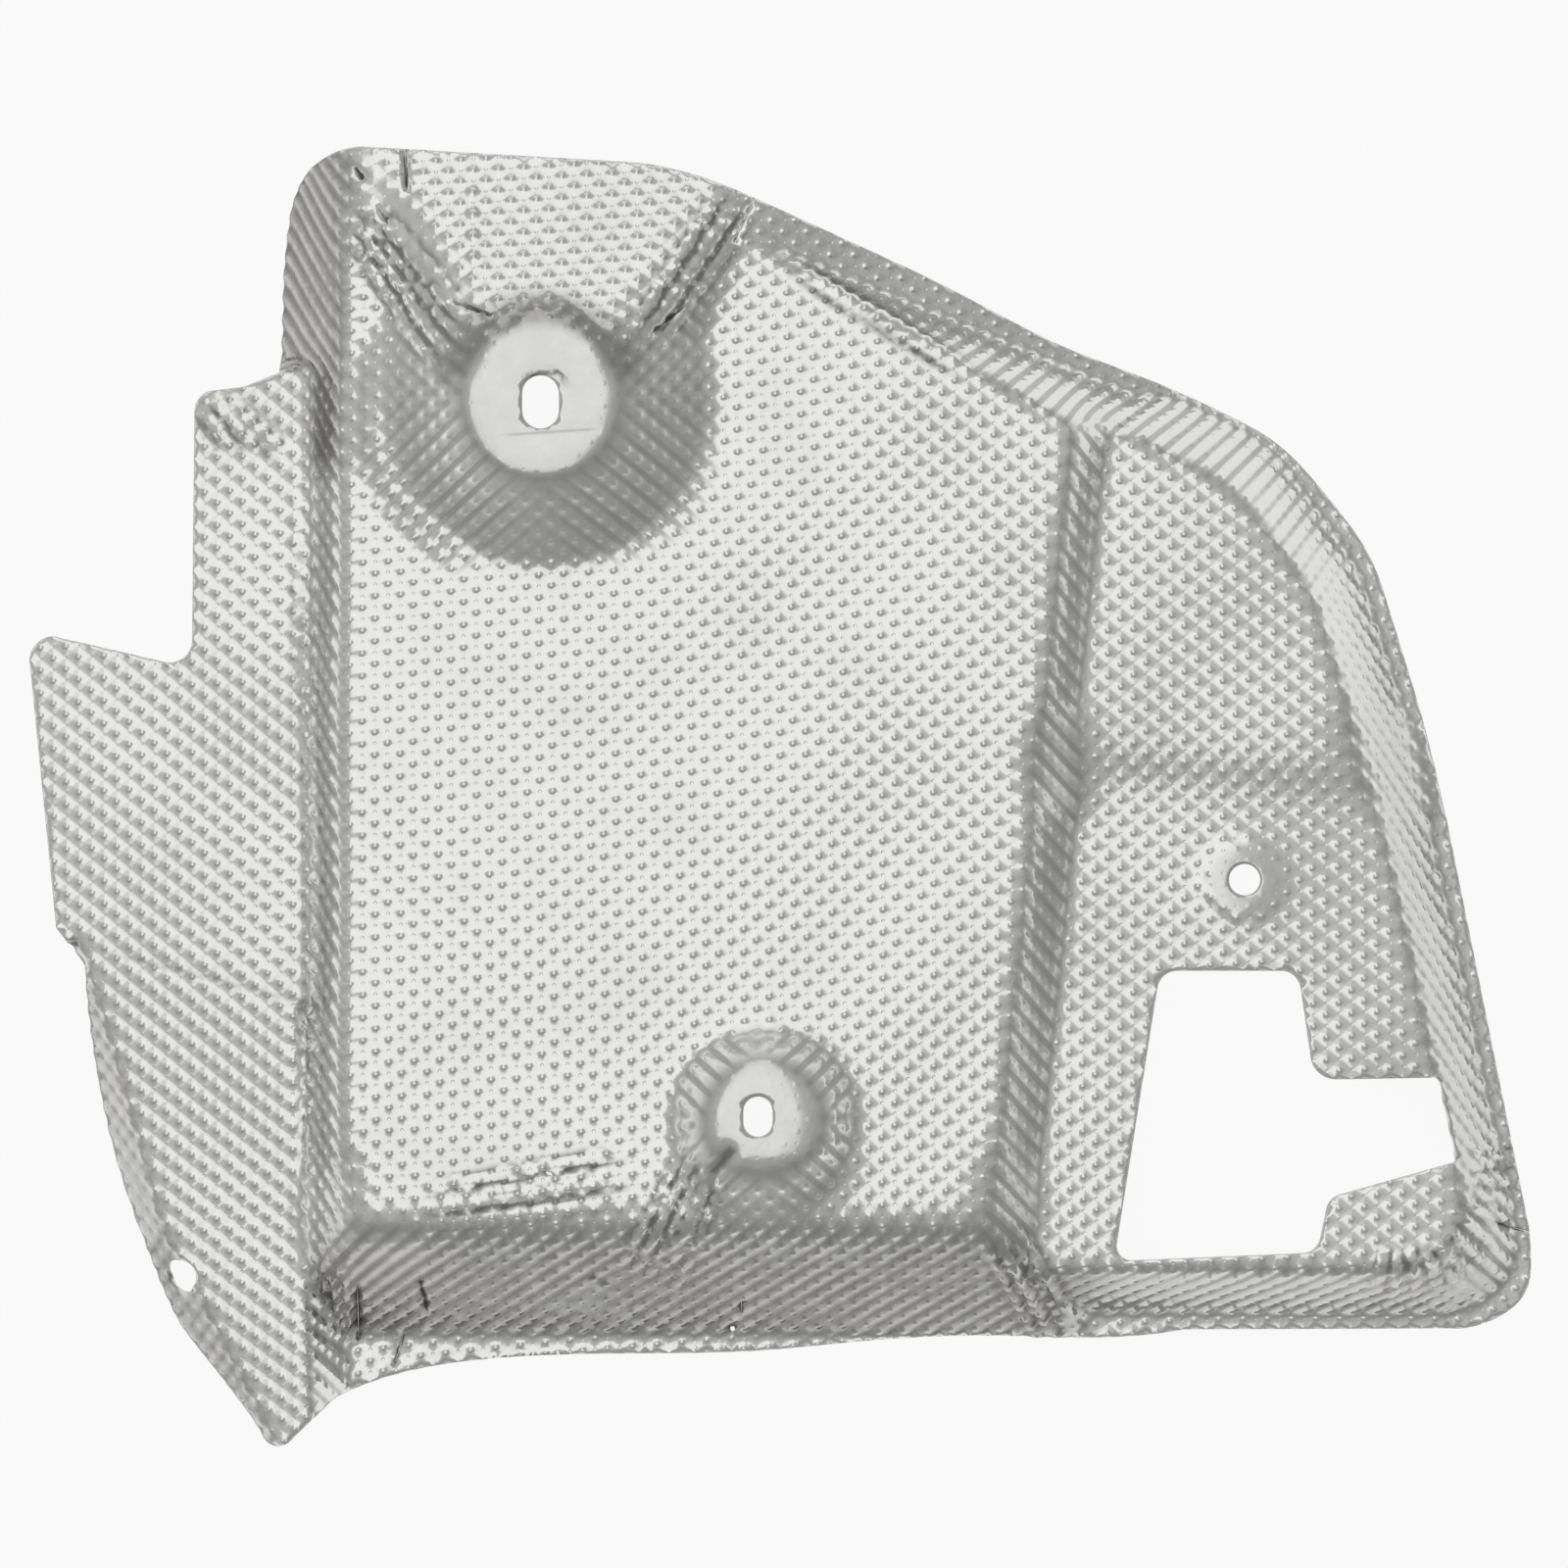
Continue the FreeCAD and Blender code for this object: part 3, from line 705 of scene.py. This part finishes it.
def emboss(p, share, normal, wall, settings):
    """Height of the emboss in mm at places counted in steps of its lattice: on slopes it is pulled out into streaks.
    Also the pull along each row and the share pulled out, from which the material paints light and shade on the walls.
    """
    u, v = share[:, 0], share[:, 1]
    row, cross = np.cos(2 * math.pi * v) / 2, np.cos(2 * math.pi * u) / 2
    reach = np.hypot(u - np.round(u), v - np.round(v))
    dot = ease((settings.dot_foot - reach) / (settings.dot_foot - settings.dot_top))
    ramp = ease((p[:, 1] - RAMP_CORNER[1]) / RAMP_FADE[1]) * ease((RAMP_CORNER[0] - p[:, 0]) / RAMP_FADE[0])
    across = settings.cross_ridge + (1.2 * settings.ridge - settings.cross_ridge) * ramp
    flat = settings.ridge * row + across * cross + settings.dot * dot
    lean = np.hypot(normal[:, 0], normal[:, 1])
    down = (normal[:, 0] + 1j * normal[:, 1]) * np.exp(-1j * STREAK_TURN * wall)
    x, y = from_fixing(p, FIXINGS[0][0]).T
    r = np.maximum(np.hypot(x, y), 1)
    (start, fade_in), (end, fade_out), top = BOSS_STREAKS
    near = 0.5 * ease((end - r) / fade_out) * ease((r - start) / fade_in) * (wall < 0.5) * (y < top)
    down = down + near * (x + 1j * y) / r
    down = down / np.maximum(np.abs(down), 1e-6)
    rows = [complex(*d) / np.hypot(*d) for d in (settings.row_a, settings.row_b)]
    pull = [(down * d.conjugate()).real ** 4 for d in rows]
    lean = lean + near * np.clip(2 * np.maximum(*pull) - 0.5, 0, 1)
    streak = settings.streak * (pull[0] * row + pull[1] * cross) + 0.3 * settings.dot * dot
    drawn_and_shaded = ease((lean - 0.25) / 0.35)
    return (flat + (streak - flat) * drawn_and_shaded) / MM, np.column_stack([*pull, drawn_and_shaded])


def off_fixings(p):
    """Share of the emboss that the press leaves round the fixing faces, at plan points in mm."""
    left = np.ones(len(p))
    for name, flat, rim in FIXINGS:
        left *= 0.06 + 0.94 * ease((np.hypot(*from_fixing(p, name).T) - flat) / (rim - flat))
    return left


def pressed_flat(p):
    """Share of the emboss that is left at plan points in mm: it is ironed out on fixing faces and some edges."""
    left = off_fixings(p)
    for line, width, share in IRONED:
        left *= 1 - (1 - share) * ease((1.8 * width - along(p, line)[0]) / width)
    return left


def painted_wall_shade(relief, p):
    """Share of painted shade at plan points in mm: on steep walls, most on those facing down the picture below the
    panel's top, on the right-hand wall and over the upper left corner, and in a band above the large boss; the fixing
    faces are darkened a little too.
    """
    z, normal = relief.height_normal(p)
    steep = np.clip((1 - normal[:, 2]) / 0.4, 0, 1)
    # Painted shade, darker on walls facing down the picture, on the right-hand wall and over the upper left corner.
    facing = np.clip(-normal[:, 1] / 0.5, 0, 1) * (0.4 + 0.6 * np.clip((MAIN_WALL[0] - p[:, 0]) / MAIN_WALL[1], 0, 1))
    facing *= np.clip((PANEL_TOP - z) / 2, 0, 1)
    (left, fade_x), (low, fade_y) = SHADED_CORNER
    corner = np.clip((left - p[:, 0]) / fade_x, 0, 1) * np.clip((p[:, 1] - low) / fade_y, 0, 1)
    rim = 0.22 * ease((p[:, 0] - RIGHT_WALL[0]) / RIGHT_WALL[1])
    shade_strength = steep * (0.05 + rim + (0.95 - rim) * np.maximum(facing, corner)) + 0.24 * (1 - off_fixings(p))
    x, y = from_fixing(p, FIXINGS[0][0]).T
    r = np.hypot(x, y)
    # Painted shade in a band above the large boss's face.
    share, (start, fade_in), (end, fade_out), rise = SHADE_BAND
    band = share * ease((r - start) / fade_in) * ease((end - r) / fade_out) * ease(y / rise)
    return np.clip(np.maximum(shade_strength, band), 0, 1)


def store(mesh, name, kind, values):
    """Gives each point of the mesh a value that the material reads."""
    field = "vector" if kind == "FLOAT_VECTOR" else "value"
    mesh.attributes.new(name, kind, "POINT").data.foreach_set(field, values.astype(np.float32).ravel())


def mesh_of(name, points, tris):
    """Mesh of points in metres and triangles."""
    mesh = bpy.data.meshes.new(name)
    mesh.from_pydata([tuple(p) for p in points], [], [tuple(int(i) for i in t) for t in tris])
    mesh.validate()
    mesh.update()
    return mesh


class SHIELD_OT_sheet(bpy.types.Operator):
    """Build the embossed sheet over the CAD solid"""

    bl_idname = "shield.sheet"
    bl_label = "Embossed sheet"

    def execute(self, context):
        settings = context.scene.shield_sheet
        solid = frame["nodes"][NODE]
        relief = Relief(solid, settings.rounding)
        basis = np.array([settings.row_a, settings.row_b]).T / MM
        loops = cut_edges(solid)
        if len(loops) < 5:
            raise RuntimeError("the solid's openings were not found")
        loops, tears = closed_tears(loops)
        fine = [even_loop(q, EDGE_STEP) for q in loops]
        fine[0] = pinch(fine[0], 1.6, 0.15)
        edge_count = sum(len(q) for q in fine)
        sides = lay_blank(relief, basis, fine, settings)
        parts, pulls, shades, faces, base, first = [], [], [], [], 0, []
        for side, (p, share, tris, order) in enumerate(sides):
            z, normal = relief.height_normal(p)
            rise, pull = emboss(p, share, normal, ease((PANEL_TOP - z) / 2), settings)
            pulls.append(pull)
            crease, shade = wrinkles(p, tears)
            shades.append(shade)
            rise = rise * pressed_flat(p) + crease + sag(p)
            point = np.column_stack([p, z]) + normal * (rise - (settings.thickness / MM if side else 0))[:, None]
            parts.append(point)
            up = np.cross(point[tris[:, 1]] - point[tris[:, 0]], point[tris[:, 2]] - point[tris[:, 0]])[:, 2] > 0
            want = up if side == 0 else ~up
            tris = np.where(want[:, None], tris, tris[:, ::-1])
            faces.append(tris + base)
            lookup = np.full(edge_count, -1)
            on_edge = (order >= 0) & (order < edge_count)
            lookup[order[on_edge]] = np.flatnonzero(on_edge) + base
            first.append(lookup)
            base += len(point)
        start = 0
        for q in fine:
            k = np.arange(len(q)) + start
            nxt = np.roll(k, -1)
            a, b, c, d = first[0][k], first[0][nxt], first[1][nxt], first[1][k]
            faces += [np.stack([a, d, b], 1), np.stack([b, d, c], 1)]
            start += len(q)
        points = np.vstack(parts) * MM
        points[:, 2] = np.maximum(points[:, 2], 0.0)
        mesh = mesh_of("embossed_sheet", points, np.vstack(faces))
        below = np.array([[v >= len(parts[0]) for v in f.vertices] for f in mesh.polygons]).sum(1)
        mesh.polygons.foreach_set("use_smooth", below % 3 == 0)
        share = np.vstack([s[1] for s in sides])
        plan = np.vstack([s[0] for s in sides])
        store(mesh, "lattice", "FLOAT_VECTOR", np.column_stack([share, pressed_flat(plan)]))
        store(mesh, "pull", "FLOAT_VECTOR", np.vstack(pulls))
        # Painted light and shade of the wrinkles, creases and tears, and the painted shade of the walls, for the
        # material.
        store(mesh, "crest", "FLOAT", np.concatenate(shades))
        store(mesh, "drawn_and_shaded", "FLOAT", painted_wall_shade(relief, plan))
        if len(mesh.polygons) > MOST_TRIANGLES:
            raise RuntimeError("the sheet has too many triangles: %d" % len(mesh.polygons))
        piece = bpy.data.objects.new("embossed_sheet", mesh)
        context.scene.collection.objects.link(piece)
        mesh.materials.append(aluminium(context.scene.shield_finish, settings))
        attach(piece, "root")
        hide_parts(NODE)
        return {"FINISHED"}


def aluminium(finish, sheet):
    """Satin aluminium with its emboss sharpened, grain and stains, painted shade on steep walls and in hollows, and
    painted highlights on the crests of streaks, dots and wrinkles.
    """
    mat = bpy.data.materials.new("embossed_aluminium")
    mat.use_nodes = True
    nodes, links = mat.node_tree.nodes, mat.node_tree.links
    shader = nodes["Principled BSDF"]
    shader.inputs["Metallic"].default_value = 1.0

    def put(socket, value):
        if isinstance(value, bpy.types.NodeSocket):
            links.new(value, socket)
        else:
            socket.default_value = value

    def math_node(kind, *values):
        node = nodes.new("ShaderNodeMath")
        node.operation = kind
        for socket, value in zip(node.inputs, values):
            put(socket, value)
        return node.outputs[0]

    def vector(kind, out, *values):
        node = nodes.new("ShaderNodeVectorMath")
        node.operation = kind
        for socket, value in zip(node.inputs, values):
            put(socket, value)
        return node.outputs[out]

    def attribute(name, out):
        node = nodes.new("ShaderNodeAttribute")
        node.attribute_name = name
        return node.outputs[out]

    def split(value):
        node = nodes.new("ShaderNodeSeparateXYZ")
        put(node.inputs[0], value)
        return node.outputs

    def noise(where, scale, detail):
        node = nodes.new("ShaderNodeTexNoise")
        put(node.inputs["Vector"], where)
        node.inputs["Scale"].default_value = scale
        node.inputs["Detail"].default_value = detail
        return node.outputs["Fac"]

    def fade(value, start, end, low=0.0, high=1.0):
        node = nodes.new("ShaderNodeMapRange")
        node.interpolation_type = "SMOOTHSTEP"
        for socket, item in zip(node.inputs, (value, start, end, low, high)):
            put(socket, item)
        return node.outputs[0]

    def blend(factor, a, b):
        node = nodes.new("ShaderNodeMix")
        node.data_type = "RGBA"
        put(node.inputs["Factor"], factor)
        put(node.inputs["A"], a)
        put(node.inputs["B"], b)
        return node.outputs["Result"]

    lattice, drawn_and_shaded = attribute("lattice", "Vector"), attribute("drawn_and_shaded", "Fac")
    along_a, along_b, steep = split(attribute("pull", "Vector"))[:3]
    u, v, left = split(lattice)
    lattice = vector("MULTIPLY", 0, lattice, (1.0, 1.0, 0.0))
    row, cross = [math_node("COSINE", math_node("MULTIPLY", c, 2 * math.pi)) for c in (v, u)]
    streak = math_node("ADD", math_node("MULTIPLY", along_a, row), math_node("MULTIPLY", along_b, cross))

    def reach(shift):
        cell = vector("FRACTION", 0, vector("ADD", 0, lattice, (*shift, 0.5)))
        return vector("LENGTH", "Value", vector("SUBTRACT", 0, cell, (0.5, 0.5, 0.5)))

    dot = fade(reach((0.5, 0.5)), sheet.dot_foot, 0.4 * sheet.dot_top)
    pit = fade(reach((0.0, 0.0)), 0.12, 0.05)
    raised = math_node("MULTIPLY", math_node("MULTIPLY_ADD", pit, -0.5, dot), fade(steep, 1.0, 0.0, 0.25, 1.0))
    raised = math_node("MULTIPLY", raised, fade(left, 0.0, 1.0, 0.3, 1.0))

    place = nodes.new("ShaderNodeTexCoord").outputs["Object"]
    stain = noise(place, STAIN_SCALE, 5.0)
    cloud = noise(place, CLOUD_SCALE, 4.0)
    shade_strength = fade(stain, 0.35, 0.65, 0.6, 1.5)
    # Painted light and shade on the walls: lighter on the crests of streaks and on dot tops, darker in streak valleys,
    # plus that of the wrinkles.
    fold = math_node("MULTIPLY_ADD", streak, shade_strength, math_node("MULTIPLY_ADD", dot, 0.6, -0.05))
    wrinkle = attribute("crest", "Fac")
    fold = math_node("MULTIPLY_ADD", steep, fold, wrinkle)
    crest, valley = fade(fold, 0.1, 0.9), fade(fold, -0.05, -0.8)
    crease = fade(wrinkle, -0.1, -0.7)
    grain = noise(place, GRAIN_SCALE, 2.0)
    # Painted shade of the walls, corners and the band above the large boss, stronger or weaker at random.
    shade_here = math_node("MULTIPLY", drawn_and_shaded, fade(cloud, 0.2, 0.8, 0.8, 1.2))
    colour = blend(shade_here, (*finish.metal, 1), (*finish.wall_shade_colour, 1))
    # Painted highlight on crests, then painted shade in hollows.
    colour = blend(math_node("MULTIPLY", crest, CREST_HIGHLIGHT), colour, (*finish.metal, 1))
    hollow = math_node("MULTIPLY_ADD", crease, HOLLOW_SHADE, math_node("MULTIPLY", valley, HOLLOW_SHADE))
    colour = blend(hollow, colour, (*finish.hollow_shade_colour, 1))
    colour = blend(fade(stain, 0.45, 0.75, 0.0, STAINING), colour, (*finish.stain, 1))
    links.new(colour, shader.inputs["Base Color"])
    rough = math_node("MULTIPLY_ADD", cloud, 0.10, finish.gloss - 0.05)
    rough = math_node("MULTIPLY_ADD", valley, 0.22, rough)
    links.new(rough, shader.inputs["Roughness"])
    fine = nodes.new("ShaderNodeBump")
    fine.inputs["Distance"].default_value = GRAIN_DEPTH
    fine.inputs["Strength"].default_value = 0.5
    links.new(grain, fine.inputs["Height"])
    crisp = nodes.new("ShaderNodeBump")
    crisp.inputs["Distance"].default_value = DOT_DEPTH
    crisp.inputs["Strength"].default_value = 1.0
    links.new(raised, crisp.inputs["Height"])
    links.new(fine.outputs[0], crisp.inputs["Normal"])
    links.new(crisp.outputs[0], shader.inputs["Normal"])
    return mat


class SHIELD_OT_stage(bpy.types.Operator):
    """Build the floor, the light and the camera"""

    bl_idname = "shield.stage"
    bl_label = "Studio"

    def execute(self, context):
        scene = context.scene
        stage = scene.shield_stage
        scene.view_settings.view_transform = "Standard"
        mesh = bpy.data.meshes.new("floor")
        s = FLOOR_HALF
        mesh.from_pydata([(-s, -s, 0), (s, -s, 0), (s, s, 0), (-s, s, 0)], [], [(0, 1, 2, 3)])
        floor = bpy.data.objects.new("floor", mesh)
        floor.location.z = -FLOOR_DROP
        scene.collection.objects.link(floor)
        mat = bpy.data.materials.new("pale_floor")
        mat.use_nodes = True
        nodes, links = mat.node_tree.nodes, mat.node_tree.links
        shader = nodes["Principled BSDF"]
        shader.inputs["Base Color"].default_value = (*stage.floor, 1)
        shader.inputs["Roughness"].default_value = 0.9
        shader.inputs["Specular IOR Level"].default_value = 0.0
        glow = nodes.new("ShaderNodeEmission")
        glow.inputs["Strength"].default_value = 1.0
        path = nodes.new("ShaderNodeLightPath")
        seen = path.outputs["Is Camera Ray"]
        for kind in ("Is Glossy Ray", "Is Transmission Ray"):
            either = nodes.new("ShaderNodeMath")
            either.operation = "MAXIMUM"
            links.new(seen, either.inputs[0])
            links.new(path.outputs[kind], either.inputs[1])
            seen = either.outputs[0]
        part = nodes.new("ShaderNodeMath")
        part.operation = "MULTIPLY"
        part.inputs[1].default_value = FLOOR_GLOW
        links.new(seen, part.inputs[0])
        mix = nodes.new("ShaderNodeMixShader")
        links.new(part.outputs[0], mix.inputs[0])
        links.new(shader.outputs[0], mix.inputs[1])
        links.new(glow.outputs[0], mix.inputs[2])
        links.new(mix.outputs[0], nodes["Material Output"].inputs["Surface"])
        mesh.materials.append(mat)

        world = bpy.data.worlds.new("studio")
        scene.world = world
        world.use_nodes = True
        nodes, links = world.node_tree.nodes, world.node_tree.links
        back = nodes["Background"]
        where = nodes.new("ShaderNodeTexCoord")
        split = nodes.new("ShaderNodeSeparateXYZ")
        links.new(where.outputs["Generated"], split.inputs[0])
        ramp = nodes.new("ShaderNodeValToRGB")
        links.new(split.outputs["Z"], ramp.inputs[0])
        steps = ramp.color_ramp.elements
        for n, (height, glow) in enumerate(ROOM_GLOW):
            step = steps[n] if n < 2 else steps.new(height)
            step.position, step.color = height, (glow, glow, 0.99 * glow, 1)
        links.new(ramp.outputs[0], back.inputs["Color"])
        lean = nodes.new("ShaderNodeVectorMath")
        lean.operation = "DOT_PRODUCT"
        lean.inputs[1].default_value = (*stage.light_lean, 0)
        links.new(where.outputs["Generated"], lean.inputs[0])
        level = nodes.new("ShaderNodeMath")
        links.new(lean.outputs["Value"], level.inputs[0])
        level.inputs[1].default_value = 1.0
        links.new(level.outputs[0], back.inputs["Strength"])

        lamp = bpy.data.lights.new("softbox", "AREA")
        lamp.shape = "RECTANGLE"
        lamp.size, lamp.size_y = stage.softbox
        lamp.energy = stage.softbox_glow * math.pi * stage.softbox[0] * stage.softbox[1]
        box = bpy.data.objects.new("softbox", lamp)
        box.location = stage.softbox_place
        scene.collection.objects.link(box)

        data = bpy.data.cameras.new("camera")
        data.sensor_width = 36.0
        data.lens = 36.0 * (stage.distance - 0.02) / stage.view_width
        camera = bpy.data.objects.new("camera", data)
        camera.location = (*stage.view_centre, stage.distance)
        scene.collection.objects.link(camera)
        scene.camera = camera
        return {"FINISHED"}


class SHIELD_PT_panel(bpy.types.Panel):
    """Sidebar with the shield's operators"""

    bl_label = "Heat shield"
    bl_idname = "SHIELD_PT_panel"
    bl_space_type = "VIEW_3D"
    bl_region_type = "UI"
    bl_category = "Shield"

    def draw(self, context):
        for group in ("shield_sheet", "shield_finish", "shield_stage"):
            box = self.layout.box()
            for prop in getattr(context.scene, group).bl_rna.properties:
                if prop.identifier not in ("rna_type", "name"):
                    box.prop(getattr(context.scene, group), prop.identifier)
        self.layout.operator(SHIELD_OT_sheet.bl_idname)
        self.layout.operator(SHIELD_OT_stage.bl_idname)


CLASSES = (ShieldSheet, ShieldFinish, ShieldStage, SHIELD_OT_sheet, SHIELD_OT_stage, SHIELD_PT_panel)


def register():
    for c in CLASSES:
        bpy.utils.register_class(c)
    bpy.types.Scene.shield_sheet = bpy.props.PointerProperty(type=ShieldSheet)
    bpy.types.Scene.shield_finish = bpy.props.PointerProperty(type=ShieldFinish)
    bpy.types.Scene.shield_stage = bpy.props.PointerProperty(type=ShieldStage)


def unregister():
    del bpy.types.Scene.shield_stage
    del bpy.types.Scene.shield_finish
    del bpy.types.Scene.shield_sheet
    for c in reversed(CLASSES):
        bpy.utils.unregister_class(c)


def main():
    register()
    bpy.ops.shield.sheet()
    bpy.ops.shield.stage()


if __name__ == "__main__":
    main()
